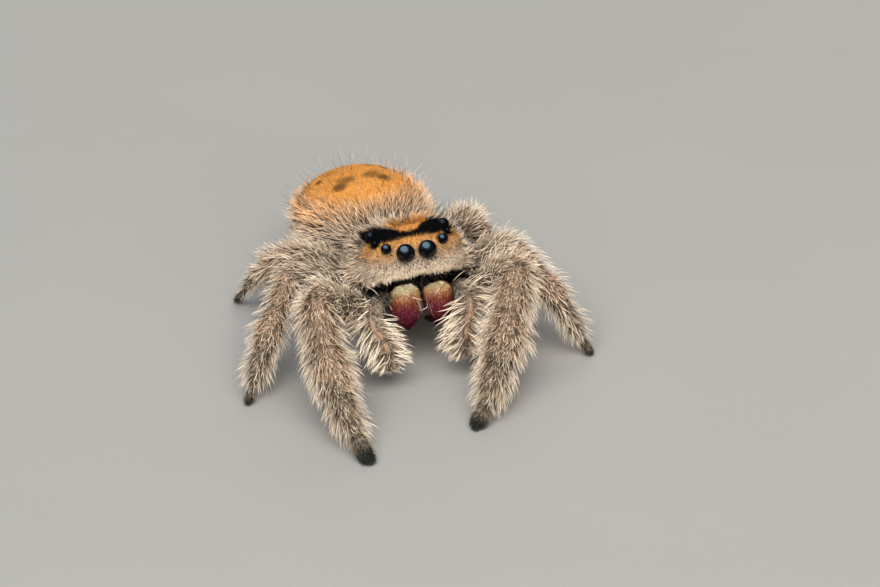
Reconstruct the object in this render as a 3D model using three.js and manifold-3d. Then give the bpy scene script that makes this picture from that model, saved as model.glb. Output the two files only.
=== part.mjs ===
// A regal jumping spider, adult female, life size, in a standing pose.
// Units are millimetres, +Z is up, and the spider faces -Y with its left side towards +X.
// Every solid reaches out to the tips of the coat. Neighbours are parted by thin cuts.
import * as THREE from "three";
import { mergeVertices } from "three/addons/utils/BufferGeometryUtils.js";
import Module from "manifold-3d";

const wasm = await Module();
wasm.setup();

// ---- driving dimensions ----
const GAP = 0.1; // the thin cut between neighbouring pieces

// The front half of the body is built in its own frame, then pitched nose up.
const PROSOMA = {
  centre: new THREE.Vector3(0, -1.69, 4.52),
  pitch: THREE.MathUtils.degToRad(15),
  halfWidth: 2.95,
  front: 2.95,
  back: 3.3,
  top: 1.76,
  bottom: 1.5,
};
const ABDOMEN = {
  centre: new THREE.Vector3(-0.4, 4.85, 2.9),
  yaw: THREE.MathUtils.degToRad(5),
  pitch: THREE.MathUtils.degToRad(3),
  halfWidth: 3.58,
  halfLength: 4.25,
  top: 2.85,
  bottom: 2.65,
};
// Eyes: offset to the side, depth along Y and height in the prosoma's frame, then radius.
const EYES = {
  eye_front_middle: { x: 0.55, y: -2.9, z: 0.66, radius: 0.45 },
  eye_front_side: { x: 1.42, y: -2.68, z: 0.98, radius: 0.26 },
  eye_rear_small: { x: 1.82, y: -2.1, z: 1.2, radius: 0.14 },
  eye_rear_side: { x: 1.82, y: -1.4, z: 1.4, radius: 0.27 },
};
// Jaws hang from the front of the prosoma, and are placed in its frame.
const CHELICERA = {
  place: new THREE.Vector3(0.83, -2.58, -1.99),
  halfWidth: 0.81,
  halfDepth: 0.8,
  halfHeight: 1.17,
  splay: THREE.MathUtils.degToRad(7),
};
const FANG = { length: 1.1, radius: 0.26, tip: 0.13 };
// The mouth's two side lobes, behind the jaws.
const MAXILLA = {
  place: new THREE.Vector3(0.66, -1.4, -1.72),
  halfWidth: 0.56,
  halfDepth: 0.45,
  halfHeight: 0.86,
};
const SPINNERET = { length: 0.55, radius: 0.3, tip: 0.2, spread: 0.34 };

// Where the joints past the knee lie, as shares of the way from the knee to the floor.
const SHARES = { patella: 0.28, tibia: 0.61, metatarsus: 0.85 };
// Legs: the hip's place in the prosoma's frame, how far the joint after it hangs below the straight
// way to the knee, the girth of each part, and for each side the knee, the foot on the floor, and the
// bow of the leg between them: outwards, back and up.
const LEGS = {
  leg_1: {
    hip: [1.5, -1.8, -1.2],
    drop: 0.75,
    girth: { upper: 1, lower: 1 },
    left: { knee: [4.62, -5.55, 4.6], foot: [0.45, -11.9], bow: [0.15, -0.55, 0.05] },
    right: { knee: [-5.35, -5.6, 4.95], foot: [-5.15, -13.1], bow: [0.4, 0.5, 0] },
  },
  leg_2: {
    hip: [1.55, -0.75, -1.1],
    drop: 0.12,
    girth: { upper: 0.8, lower: 0.72 },
    left: { knee: [5.1, -2.6, 4.45], foot: [7.6, -7.2], bow: [0.15, -1.1, 0.35] },
    right: { knee: [-5.4, -0.85, 4.2], foot: [-9.2, -5.6], bow: [0.45, -0.7, 0] },
  },
  leg_3: {
    hip: [1.55, 0.5, -1.1],
    drop: 0.12,
    girth: { upper: 0.74, lower: 0.62 },
    left: { knee: [4.05, 0.35, 4.8], foot: [6.5, 0.5], bow: [-0.1, -0.4, -0.15] },
    right: { knee: [-4.7, 0.25, 4.4], foot: [-7.35, 4.5], bow: [0.1, 0, 0.6] },
  },
  leg_4: {
    hip: [1.4, 1.75, -1.05],
    drop: 0.12,
    girth: { upper: 0.74, lower: 0.64 },
    left: { knee: [4.05, 3.1, 3.2], foot: [5.9, 8.2], bow: [0.4, 0, 0.05] },
    right: { knee: [-4.75, 3.1, 3.15], foot: [-5.2, 7.6], bow: [0.2, 0, 0.05] },
  },
};
const TROCHANTER_SHARE = 0.28; // where the joint between hip and knee lies, as a share of the way
// Radii at girth 1 along each part: a place counted in joints from its upper end, then the radius.
const RADII = {
  upper: [[0, 0.7], [0.5, 0.76], [1, 0.8], [1.35, 0.98], [1.7, 1.06], [2, 0.92]],
  lower: [[0, 0.94], [0.5, 1.04], [1, 0.95], [1.45, 1.13], [2, 0.91], [2.5, 0.85], [3, 0.56]],
  foot: [[0, 0.5], [0.5, 0.5], [1, 0.42]],
};
const SOLE = 0.12; // how far the middle of each toe's end is above the floor at girth 1
// The feelers beside the jaws: joints from the base to the tip, one list for each side.
const PALPS = {
  left: [[0.95, -4.3, 3.9], [2.25, -5.3, 3.95], [1.8, -6.15, 3.05], [1.5, -6.55, 2.1], [1.25, -6.55, 1]],
  right: [[-0.95, -4.3, 3.9], [-2.85, -5.2, 3.85], [-2.65, -6.05, 2.85], [-2.4, -6.5, 2], [-2.2, -6.55, 1]],
};
const PALP_RADII = [
  [0, 0.5], [1, 0.6], [1.5, 0.74], [2, 0.72],
  [2.5, 0.82], [3, 0.78], [3.5, 0.9], [4, 0.62],
];

const SIDES = { left: 1, right: -1 };
const LIMB_FACETS = 9;
const PROSOMA_FACETS = [22, 14];
const ABDOMEN_FACETS = [20, 13];
const ROUND = 0.62; // how far a limb's round end reaches, as a share of its radius

// ---- solids ----

// A closed three.js geometry as a manifold solid.
function solid(geometry) {
  const bare = geometry.index ? geometry.toNonIndexed() : geometry.clone();
  bare.deleteAttribute("normal");
  bare.deleteAttribute("uv");
  const merged = mergeVertices(bare, 1e-4);
  const index = merged.index.array;
  const triangles = [];
  for (let i = 0; i < index.length; i += 3) {
    const [a, b, c] = [index[i], index[i + 1], index[i + 2]];
    if (a !== b && b !== c && c !== a) triangles.push(a, b, c);
  }
  const shape = new wasm.Mesh({
    numProp: 3,
    vertProperties: new Float32Array(merged.attributes.position.array),
    triVerts: new Uint32Array(triangles),
  });
  return new wasm.Manifold(shape);
}

const cut = (whole, tools) => tools.reduce((left, tool) => left.subtract(tool), whole);

// The largest body of a solid, so that a sliver left by a cut is dropped.
function largest(whole) {
  const bodies = whole.decompose();
  return bodies.reduce((best, body) => (body.volume() > best.volume() ? body : best));
}

function geometryOf(whole) {
  const mesh = whole.getMesh();
  const geometry = new THREE.BufferGeometry();
  const places = new Float32Array(mesh.numVert * 3);
  for (let i = 0; i < mesh.numVert; i += 1) {
    places.set(mesh.vertProperties.subarray(i * mesh.numProp, i * mesh.numProp + 3), i * 3);
  }
  geometry.setAttribute("position", new THREE.BufferAttribute(places, 3));
  geometry.setIndex(new THREE.BufferAttribute(mesh.triVerts, 1));
  geometry.computeVertexNormals();
  return geometry;
}

// Moves a geometry's vertices by a function of their place and number.
function reshape(geometry, place) {
  const at = geometry.attributes.position;
  const point = new THREE.Vector3();
  for (let i = 0; i < at.count; i += 1) {
    point.fromBufferAttribute(at, i);
    place(point, i);
    at.setXYZ(i, point.x, point.y, point.z);
  }
  return geometry;
}

const power = (value, exponent) => Math.sign(value) * Math.abs(value) ** exponent;
const { smoothstep } = THREE.MathUtils;

// The end of a limb, from its widest ring to its pole: the radius, and how far past the last joint.
function roundEnd(radius, sense) {
  const half = Math.SQRT1_2;
  return [[radius * half, sense * radius * ROUND * half], [0, sense * radius * ROUND]];
}

// A round-ended limb along a smooth line through its joints. A section is a place on the line,
// counted in joints, and the radius there.
function limb(joints, sections, grow = 0) {
  const line = new THREE.CatmullRomCurve3(joints, false, "centripetal");
  const last = joints.length - 1;
  const rings = sections.map(([place, radius]) => ({ place, beyond: 0, radius: radius + grow }));
  const start = roundEnd(rings[0].radius, -1).map(([radius, beyond]) => ({ place: 0, beyond, radius }));
  const end = roundEnd(rings.at(-1).radius, 1).map(([radius, beyond]) => ({ place: last, beyond, radius }));
  const stations = [...start.reverse(), ...rings, ...end];
  // Each ring's axes are carried along from the ring before, so that the limb doesn't twist.
  const across = new THREE.Vector3(0, 0, 1).cross(line.getTangent(0)).normalize();
  for (const station of stations) {
    station.tangent = line.getTangent(station.place / last);
    station.centre = line.getPoint(station.place / last).addScaledVector(station.tangent, station.beyond);
    across.addScaledVector(station.tangent, -across.dot(station.tangent)).normalize();
    station.across = across.clone();
    station.over = new THREE.Vector3().crossVectors(station.across, station.tangent);
  }
  const profile = stations.map(({ radius }, i) => new THREE.Vector2(radius, i));
  const skin = reshape(new THREE.LatheGeometry(profile, LIMB_FACETS), (p, i) => {
    const station = stations[i % stations.length];
    const [x, z] = [p.x, p.z];
    p.copy(station.centre).addScaledVector(station.across, x).addScaledVector(station.over, z);
  });
  return solid(skin);
}

function ball(centre, radius, facets) {
  return solid(new THREE.SphereGeometry(radius, ...facets).translate(centre.x, centre.y, centre.z));
}

// ---- the front half of the body ----

const noseUp = new THREE.Matrix4().makeRotationX(-PROSOMA.pitch).setPosition(PROSOMA.centre);
const fromProsoma = (place) => place.clone().applyMatrix4(noseUp);

// High and square in front, where the face stands upright, and low and narrow behind.
function prosoma(grow = 0) {
  const body = PROSOMA;
  const shape = reshape(new THREE.SphereGeometry(1, ...PROSOMA_FACETS).rotateX(Math.PI / 2), (p) => {
    const square = smoothstep(-p.y, -0.2, 0.5);
    const y = power(p.y, p.y < 0 ? 0.5 : 0.9) * ((p.y < 0 ? body.front : body.back) + grow);
    const narrow = 1 - 0.34 * smoothstep(y, 0.4, body.back) - 0.08 * smoothstep(-y, 0.8, body.front);
    const sunk = 1 - 0.42 * smoothstep(y, 0, body.back) - 0.1 * smoothstep(-y, 1.4, body.front);
    const chin = 1 - (0.56 - 0.22 * Math.abs(p.x)) * smoothstep(-y, 1, 2.4);
    const height = p.z > 0 ? (body.top + grow) * sunk : (body.bottom + grow) * chin;
    const x = power(p.x, 0.82 - 0.3 * square) * (body.halfWidth + grow) * narrow;
    p.set(x, y, power(p.z, p.z > 0 ? 0.8 : 0.8 - 0.35 * square) * height);
  });
  return solid(shape.applyMatrix4(noseUp));
}

function eyePlaces() {
  const places = {};
  for (const [name, eye] of Object.entries(EYES)) {
    for (const [side, sign] of Object.entries(SIDES)) {
      const centre = fromProsoma(new THREE.Vector3(sign * eye.x, eye.y, eye.z));
      const facets = eye.radius > 0.4 ? [11, 8] : [9, 6];
      places[`${name}_${side}`] = { centre, radius: eye.radius, facets };
    }
  }
  return places;
}

// A jaw: an upright egg, narrower below, that leans outwards at its lower end.
function chelicera(sign, grow = 0) {
  const jaw = CHELICERA;
  const shape = reshape(new THREE.SphereGeometry(1, 12, 9).rotateX(Math.PI / 2), (p) => {
    const taper = 1 - 0.16 * smoothstep(-p.z, 0.1, 1);
    const [x, y] = [p.x * (jaw.halfWidth + grow) * taper, p.y * (jaw.halfDepth + grow) * taper];
    p.set(x, y, power(p.z, p.z > 0 ? 0.6 : 0.85) * (jaw.halfHeight + grow));
  });
  shape.rotateY(sign * -jaw.splay).translate(sign * jaw.place.x, jaw.place.y, jaw.place.z);
  return solid(shape.applyMatrix4(noseUp));
}

// A fang: a horn that curves back and in under the jaw.
function fang(sign) {
  const { place, halfHeight } = CHELICERA;
  const root = new THREE.Vector3(sign * place.x, place.y + 0.25, place.z - halfHeight + 0.35);
  const bend = new THREE.Vector3(root.x - sign * 0.08, root.y + FANG.length * 0.45, root.z - 0.42);
  const tip = new THREE.Vector3(root.x - sign * 0.45, root.y + FANG.length, root.z - 0.3);
  const sections = [[0, FANG.radius], [1, FANG.radius * 0.85], [2, FANG.tip]];
  return limb([root, bend, tip].map(fromProsoma), sections);
}

// A lobe beside the mouth.
function maxilla(sign, grow = 0) {
  const lobe = MAXILLA;
  const shape = new THREE.SphereGeometry(1, 8, 6).rotateX(Math.PI / 2);
  shape.scale(lobe.halfWidth + grow, lobe.halfDepth + grow, lobe.halfHeight + grow);
  shape.translate(sign * lobe.place.x, lobe.place.y, lobe.place.z);
  return solid(shape.applyMatrix4(noseUp));
}

// ---- legs and feelers ----

// The joints of one leg from hip to toe. Past the knee they lie on a bowed line down to the foot.
function legJoints(leg, side) {
  const sign = SIDES[side];
  const { foot, bow } = leg[side];
  const [outwards, back, up] = bow;
  const hip = fromProsoma(new THREE.Vector3(sign * leg.hip[0], leg.hip[1], leg.hip[2]));
  const knee = new THREE.Vector3(...leg[side].knee);
  const toe = new THREE.Vector3(...foot, SOLE * leg.girth.lower);
  const pull = new THREE.Vector3(sign * outwards, back, up).multiplyScalar(2);
  const line = new THREE.QuadraticBezierCurve3(knee, knee.clone().lerp(toe, 0.45).add(pull), toe);
  const trochanter = hip.clone().lerp(knee, TROCHANTER_SHARE);
  trochanter.z -= leg.drop;
  const [patella, tibia, metatarsus] = Object.values(SHARES).map((share) => line.getPoint(share));
  return {
    upper: [hip, trochanter, knee],
    lower: [knee, patella, tibia, metatarsus],
    foot: [metatarsus, toe],
  };
}

// One part of a leg: upper, lower or foot.
function legPart(leg, side, part, grow = 0) {
  const girth = part === "upper" ? leg.girth.upper : leg.girth.lower;
  const sections = RADII[part].map(([place, radius]) => [place, radius * girth]);
  return limb(legJoints(leg, side)[part], sections, grow);
}

const palp = (side) => limb(PALPS[side].map((place) => new THREE.Vector3(...place)), PALP_RADII);

// ---- the hind half of the body ----

const abdomenTurn = new THREE.Matrix4()
  .makeRotationFromEuler(new THREE.Euler(-ABDOMEN.pitch, 0, ABDOMEN.yaw))
  .setPosition(ABDOMEN.centre);

// An egg, widest behind its middle.
function abdomen(grow = 0) {
  const body = ABDOMEN;
  const shape = reshape(new THREE.SphereGeometry(1, ...ABDOMEN_FACETS).rotateX(Math.PI / 2), (p) => {
    const swell = 1 + 0.05 * p.y;
    const height = (p.z > 0 ? body.top : body.bottom) + grow;
    p.x = power(p.x, 0.95) * (body.halfWidth + grow) * swell;
    p.z *= height * swell;
    p.y = power(p.y, 0.94) * (body.halfLength + grow);
  });
  return solid(shape.applyMatrix4(abdomenTurn));
}

function spinnerets() {
  const { length, radius, tip, spread } = SPINNERET;
  const cones = [-1, 0, 1].map((step) => {
    const from = new THREE.Vector3(step * spread, ABDOMEN.halfLength * 0.93, -ABDOMEN.bottom * 0.42);
    const to = new THREE.Vector3(step * spread * 1.4, from.y + length, from.z - 0.12);
    return limb([from, to].map((place) => place.applyMatrix4(abdomenTurn)), [[0, radius], [1, tip]]);
  });
  return cones.reduce((whole, cone) => whole.add(cone));
}

// ---- materials ----

const finish = (color, roughness, metalness = 0) =>
  new THREE.MeshStandardMaterial({ color, roughness, metalness });
const FINISH = {
  coat: finish(0xb7a68f, 0.9),
  abdomen: finish(0xd98a3c, 0.85),
  jaw: finish(0x8e2f45, 0.4, 0.2),
  horn: finish(0x1a1210, 0.3),
  eye: finish(0x060606, 0.05),
  foot: finish(0x3d4a4c, 0.8),
};

// ---- the spider, each piece cut back from those before it ----

const spider = new THREE.Group();

function add(name, whole, material) {
  const mesh = new THREE.Mesh(geometryOf(largest(whole)), material);
  mesh.name = name;
  spider.add(mesh);
}

const eyes = eyePlaces();
const sockets = Object.values(eyes).map((eye) => ball(eye.centre, eye.radius + GAP / 2, eye.facets));
add("cephalothorax", cut(prosoma(), sockets), FINISH.coat);
for (const [name, { centre, radius, facets }] of Object.entries(eyes)) {
  add(name, ball(centre, radius, facets), FINISH.eye);
}
const clearance = [prosoma(GAP)];

const midline = solid(new THREE.BoxGeometry(GAP, 12, 12).applyMatrix4(noseUp));
for (const [side, sign] of Object.entries(SIDES)) {
  add(`chelicera_${side}`, cut(chelicera(sign), [...clearance, midline]), FINISH.jaw);
}
const jaws = Object.values(SIDES).map((sign) => chelicera(sign, GAP));
for (const [side, sign] of Object.entries(SIDES)) {
  add(`fang_${side}`, cut(fang(sign), [...clearance, ...jaws, midline]), FINISH.horn);
}
for (const [side, sign] of Object.entries(SIDES)) {
  add(`maxilla_${side}`, cut(maxilla(sign), [...clearance, ...jaws, midline]), FINISH.horn);
}
const lobes = Object.values(SIDES).map((sign) => maxilla(sign, GAP));
clearance.push(...jaws, ...lobes);

const floor = solid(new THREE.BoxGeometry(60, 60, 10).translate(0, 0, -5));
for (const part of ["upper", "lower", "foot"]) {
  for (const [name, leg] of Object.entries(LEGS)) {
    for (const side of Object.keys(SIDES)) {
      const tools = part === "foot" ? [...clearance, floor] : clearance;
      const material = part === "foot" ? FINISH.foot : FINISH.coat;
      add(`${name}_${side}_${part}`, cut(legPart(leg, side, part), tools), material);
      clearance.push(legPart(leg, side, part, GAP));
    }
  }
}
for (const side of Object.keys(SIDES)) {
  add(`palp_${side}`, cut(palp(side), clearance), FINISH.coat);
}
add("abdomen", cut(abdomen(), [...clearance, floor]), FINISH.abdomen);
add("spinnerets", cut(spinnerets(), [abdomen(GAP)]), FINISH.coat);

// The origin is on the floor, under the middle of the whole spider.
const middle = new THREE.Box3().setFromObject(spider).getCenter(new THREE.Vector3());
spider.position.set(-middle.x, -middle.y, 0);

const root = new THREE.Group();
root.add(spider);
export default root;
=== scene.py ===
"""Looks of a life-size regal jumping spider, built around its solids.

Lengths are in millimetres while shapes are worked out, and in metres in the finished meshes.
The spider stands on the floor, faces -Y and has its left side towards +X.
"""

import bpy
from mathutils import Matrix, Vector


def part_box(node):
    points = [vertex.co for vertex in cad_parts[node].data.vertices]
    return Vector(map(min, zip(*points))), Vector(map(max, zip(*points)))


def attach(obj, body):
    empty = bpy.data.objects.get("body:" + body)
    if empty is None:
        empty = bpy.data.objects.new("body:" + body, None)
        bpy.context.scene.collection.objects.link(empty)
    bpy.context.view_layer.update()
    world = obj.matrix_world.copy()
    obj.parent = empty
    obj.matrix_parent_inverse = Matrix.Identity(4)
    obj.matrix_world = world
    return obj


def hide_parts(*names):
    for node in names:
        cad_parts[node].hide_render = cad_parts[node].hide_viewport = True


bl_info = {
    "name": "Regal jumping spider",
    "version": (1, 0, 0),
    "blender": (4, 5, 0),
    "location": "3D View > Sidebar > Spider",
    "description": "Builds the skin, fur, eyes, jaws and stage of a life-size jumping spider",
    "category": "Object",
}

import math
from dataclasses import dataclass

import bpy
import numpy as np
from bpy.props import FloatProperty, FloatVectorProperty, IntProperty, PointerProperty
from mathutils import Matrix, Vector
from mathutils.bvhtree import BVHTree

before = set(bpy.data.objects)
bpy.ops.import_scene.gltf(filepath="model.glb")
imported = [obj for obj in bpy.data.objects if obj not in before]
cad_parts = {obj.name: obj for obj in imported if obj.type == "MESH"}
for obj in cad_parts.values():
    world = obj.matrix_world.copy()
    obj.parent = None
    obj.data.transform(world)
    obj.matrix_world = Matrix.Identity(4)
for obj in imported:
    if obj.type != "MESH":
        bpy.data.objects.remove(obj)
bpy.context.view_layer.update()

MM = 0.001
SIDES = {"left": 1, "right": -1}
LEG_HAIR_SIZES = {1: 1.0, 2: 0.85, 3: 0.78, 4: 0.8}
EYE_KINDS = ("eye_front_middle", "eye_front_side", "eye_rear_small", "eye_rear_side")
UP = np.array([0.0, 0.0, 1.0])


def turn_about(axis, degrees):
    return np.array(Matrix.Rotation(math.radians(degrees), 3, axis))


# Rows times these give a direction in the head's or abdomen's own frame. The inverse is the transpose.
HEAD_TURN = turn_about("X", -15)
ABDOMEN_TURN = turn_about("Z", 5)


# ---- settings ----


class SpiderCoat(bpy.types.PropertyGroup):
    """Sizes of the fur, as multiples of its own"""

    density: FloatProperty(name="Density", description="Scales the number of hairs", default=1.0, min=0.01)
    length: FloatProperty(name="Length", description="Scales the length of every hair", default=1.0, min=0.1)
    width: FloatProperty(name="Width", description="Scales the width of every hair", default=1.0, min=0.1)
    seed: IntProperty(name="Seed", description="Start of the random draws", default=11)


def colour_property(name, description, value):
    return FloatVectorProperty(name=name, description=description, subtype="COLOR", default=value)


def angle_property(name, description, degrees):
    return FloatProperty(name=name, description=description, subtype="ANGLE", default=math.radians(degrees))


class SpiderColours(bpy.types.PropertyGroup):
    """Colours of the fur, skin and eyes"""

    grey: colour_property("Grey fur", "Main colour of the coat", (0.88, 0.70, 0.50))
    cream: colour_property("Cream fur", "Lower face, fringes and flanks", (1.0, 0.83, 0.63))
    orange: colour_property("Orange fur", "Face and back", (1.0, 0.44, 0.10))
    tan: colour_property("Tan fur", "Knees and feelers", (0.88, 0.52, 0.33))
    # The black also paints the shade under the face, behind the jaws and at the feelers' bases.
    black: colour_property("Black fur", "Band between the eyes", (0.004, 0.003, 0.003))
    slate: colour_property("Slate fur", "Feet", (0.022, 0.042, 0.045))
    bristle: colour_property("Bristles", "Dark hairs among the rest", (0.03, 0.018, 0.011))
    eye: colour_property("Eyes", "Lenses", (0.002, 0.002, 0.003))


class SpiderStage(bpy.types.PropertyGroup):
    """Camera and light"""

    azimuth: angle_property("Azimuth", "Turn round the spider", -14)
    elevation: angle_property("Elevation", "Height over the floor", 29)
    roll: angle_property("Roll", "Tilt about its own axis", 4)
    distance: FloatProperty(name="Distance", description="Camera to face", default=0.218, subtype="DISTANCE")
    lens: FloatProperty(name="Lens", description="Focal length", default=185.0, subtype="DISTANCE_CAMERA")
    light: FloatProperty(name="Light", description="Scales all the lamps", default=1.0, min=0.0)


# ---- reading the solids ----


def shape_of(mesh):
    """A mesh's vertices and triangles."""
    mesh.calc_loop_triangles()
    verts = np.empty(len(mesh.vertices) * 3)
    mesh.vertices.foreach_get("co", verts)
    tris = np.empty(len(mesh.loop_triangles) * 3, np.int32)
    mesh.loop_triangles.foreach_get("vertices", tris)
    return verts.reshape(-1, 3), tris.reshape(-1, 3)


def joined(shapes):
    """Several shapes as one."""
    starts = np.cumsum([0] + [len(verts) for verts, _ in shapes[:-1]])
    tris = [tris + start for (_, tris), start in zip(shapes, starts)]
    return np.concatenate([verts for verts, _ in shapes]), np.concatenate(tris)


def node_shape(name):
    """A solid's welded vertices, in millimetres, and its triangles."""
    verts, tris = shape_of(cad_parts[name].data)
    rounded = np.round(verts / MM, 4)
    _, first, back = np.unique(rounded, axis=0, return_index=True, return_inverse=True)
    tris = back.reshape(-1)[tris]
    a, b, c = tris.T
    return verts[first] / MM, tris[(a != b) & (b != c) & (c != a)]


def node_middle(name):
    low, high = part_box(name)
    return np.array((low + high) / 2) / MM


def node_reach(name):
    low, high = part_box(name)
    return np.array((high - low) / 2) / MM


def tree_of(shape):
    return BVHTree.FromPolygons(shape[0].tolist(), shape[1].tolist())


def sides_of(tris):
    """The two ends of each side of each triangle."""
    return np.concatenate([tris[:, [0, 1]], tris[:, [1, 2]], tris[:, [2, 0]]])


TOUCHING = 0.22  # how near to its neighbour a solid's facing end lies
SOLE_HEIGHT = 0.01


def meeting(name, other):
    """The middle of the part of one solid that faces its neighbour."""
    tree = tree_of(node_shape(other))
    near = [p for p in node_shape(name)[0] if tree.find_nearest(p.tolist())[3] < TOUCHING]
    return np.mean(near, axis=0)


def section(name, start, end, share):
    """The middle of a solid's cut by a plane across the line from start to end."""
    verts, tris = node_shape(name)
    axis = (end - start) / np.linalg.norm(end - start)
    height = (verts - start) @ axis - share * np.linalg.norm(end - start)
    edges = sides_of(tris)
    a, b = edges[(height[edges[:, 0]] < 0) & (height[edges[:, 1]] >= 0)].T
    t = (height[a] / (height[a] - height[b]))[:, None]
    cut = verts[a] * (1 - t) + verts[b] * t
    return (cut.max(axis=0) + cut.min(axis=0)) / 2


# ---- lines through the legs and feelers ----

LINE_STEPS = 120


class Limb:
    """A smooth line through a leg or feeler, with the way that its hairs lie at each place."""

    def __init__(self, name, knots, joints):
        self.name = name
        self.points = smooth_line(np.array(knots), LINE_STEPS)
        steps = np.linalg.norm(np.diff(self.points, axis=0), axis=1)
        self.along = np.concatenate([[0], np.cumsum(steps)])
        tangents = np.gradient(self.points, axis=0)
        self.tangents = tangents / np.linalg.norm(tangents, axis=1)[:, None]
        self.joints = [self.along[np.argmin(np.linalg.norm(self.points - j, axis=1))] for j in joints]

    def joint_gap(self, along):
        """How far each distance along the limb is from the nearest joint."""
        return np.abs(along[:, None] - np.array(self.joints)).min(axis=1)

    def read(self, places):
        """For each place: the distance along the limb, its direction, and the way out from its line."""
        gaps = np.linalg.norm(places[:, None] - self.points[None], axis=2)
        nearest = gaps.argmin(axis=1)
        tangent = self.tangents[nearest]
        out = places - self.points[nearest]
        out -= (out * tangent).sum(axis=1)[:, None] * tangent
        return self.along[nearest], tangent, unit(out)


def unit(vectors):
    return vectors / np.maximum(np.linalg.norm(vectors, axis=-1, keepdims=True), 1e-9)


def smooth_line(knots, count):
    """A Catmull-Rom line through the knots."""
    padded = np.concatenate([[2 * knots[0] - knots[1]], knots, [2 * knots[-1] - knots[-2]]])
    spans = len(knots) - 1
    t = np.linspace(0, spans, count)
    i = np.minimum(t.astype(int), spans - 1)
    f = (t - i)[:, None]
    a, b, c, d = padded[i], padded[i + 1], padded[i + 2], padded[i + 3]
    return 0.5 * (2 * b + (c - a) * f + (2 * a - 5 * b + 4 * c - d) * f**2 + (3 * b - a - 3 * c + d) * f**3)


def leg_limb(number, side):
    name = f"leg_{number}_{side}"
    upper, lower, foot = (f"{name}_{part}" for part in ("upper", "lower", "foot"))
    hip, knee, ankle = meeting(upper, "cephalothorax"), meeting(lower, upper), meeting(foot, lower)
    verts = node_shape(foot)[0]
    sole = verts[verts[:, 2] < SOLE_HEIGHT].mean(axis=0)
    shin = [section(lower, knee, ankle, share) for share in (0.25, 0.5, 0.75)]
    patella, tibia = (section(lower, knee, ankle, share) for share in (0.33, 0.7))
    knots = [hip, section(upper, hip, knee, 0.5), knee, *shin, ankle, sole]
    return Limb(name, knots, [knee, patella, tibia, ankle])


def palp_limb(side):
    name = f"palp_{side}"
    low, high = (np.array(corner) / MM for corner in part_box(name))
    verts = node_shape(name)[0]
    base = verts[np.argsort(np.linalg.norm(verts - node_middle("cephalothorax"), axis=1))[:6]].mean(axis=0)
    top, tip = np.array([0, 0, high[2]]), np.array([0, 0, low[2]])
    lower = [section(name, top, tip, share) for share in (0.36, 0.5, 0.65, 0.8, 0.93)]
    elbow = lower[0] + np.array([SIDES[side] * 0.12, 0.2, 0.75])
    return Limb(name, [base, elbow, *lower], [elbow, lower[1], lower[2]])


LIMBS = {f"leg_{n}_{s}": leg_limb(n, s) for n in LEG_HAIR_SIZES for s in SIDES}
LIMBS.update({f"palp_{s}": palp_limb(s) for s in SIDES})

# How deep the fur is over each kind of solid, and over the upper and lower part of each pair of legs.
COAT_DEPTH = {"cephalothorax": 0.2, "abdomen": 0.17, "spinnerets": 0.04, "palp": 0.24, "foot": 0.04}
LEG_DEPTH = {"1": (0.2, 0.24), "2": (0.18, 0.19), "3": (0.16, 0.16), "4": (0.16, 0.16)}
FACE_DEPTH = 0.1
MOUTH_DEPTH = 0.03
JOINT_PINCH = 0.06  # how much deeper the skin lies at the joints


def coat_depth(node):
    kind, *words = node.split("_")
    if kind == "leg" and words[-1] != "foot":
        return LEG_DEPTH[words[0]][words[-1] == "lower"]
    return COAT_DEPTH["foot" if kind == "leg" else kind]


FLESH_KINDS = ("cephalothorax", "abdomen", "spinnerets", "leg", "palp")
FLESH = [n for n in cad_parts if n.split("_")[0] in FLESH_KINDS]
EYES = [f"{kind}_{side}" for kind in EYE_KINDS for side in SIDES]
FLESH_SHAPES = {n: node_shape(n) for n in FLESH + EYES}


# One search tree over all the flesh, and the name of the solid that owns each of its triangles.
FLESH_TREE = tree_of(joined([FLESH_SHAPES[name] for name in FLESH]))
FLESH_OWNERS = np.repeat(FLESH, [len(FLESH_SHAPES[name][1]) for name in FLESH])


def families_of(places):
    """The name of the flesh solid nearest to each place."""
    return FLESH_OWNERS[[FLESH_TREE.find_nearest(p)[2] for p in places.tolist()]]


# ---- mesh tools ----


def vertex_normals(verts, tris):
    a, b, c = verts[tris[:, 0]], verts[tris[:, 1]], verts[tris[:, 2]]
    face = np.cross(b - a, c - a)
    total = np.zeros_like(verts)
    for corner in range(3):
        for axis in range(3):
            total[:, axis] += np.bincount(tris[:, corner], face[:, axis], len(verts))
    return unit(total)


def edges_of(tris):
    return np.unique(np.sort(sides_of(tris), axis=1), axis=0)


def relaxed(values, edges, rounds, factor):
    """Values on the vertices, each drawn towards the mean of its neighbours."""
    count = np.bincount(edges.ravel(), minlength=len(values)).astype(float)
    flat = values.reshape(len(values), -1).astype(float)
    for _ in range(rounds):
        near = np.empty_like(flat)
        for k in range(flat.shape[1]):
            near[:, k] = np.bincount(edges[:, 0], flat[edges[:, 1], k], len(flat))
            near[:, k] += np.bincount(edges[:, 1], flat[edges[:, 0], k], len(flat))
        flat += (near / np.maximum(count, 1)[:, None] - flat) * factor
    return flat.reshape(values.shape)


def new_mesh(name, verts, tris, scale=MM):
    mesh = bpy.data.meshes.new(name)
    mesh.vertices.add(len(verts))
    mesh.vertices.foreach_set("co", (verts * scale).astype(np.float32).ravel())
    mesh.loops.add(len(tris) * 3)
    mesh.loops.foreach_set("vertex_index", tris.astype(np.int32).ravel())
    mesh.polygons.add(len(tris))
    mesh.polygons.foreach_set("loop_start", np.arange(0, len(tris) * 3, 3, dtype=np.int32))
    mesh.polygons.foreach_set("use_smooth", np.full(len(tris), True))
    mesh.update(calc_edges=True)
    return mesh


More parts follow.
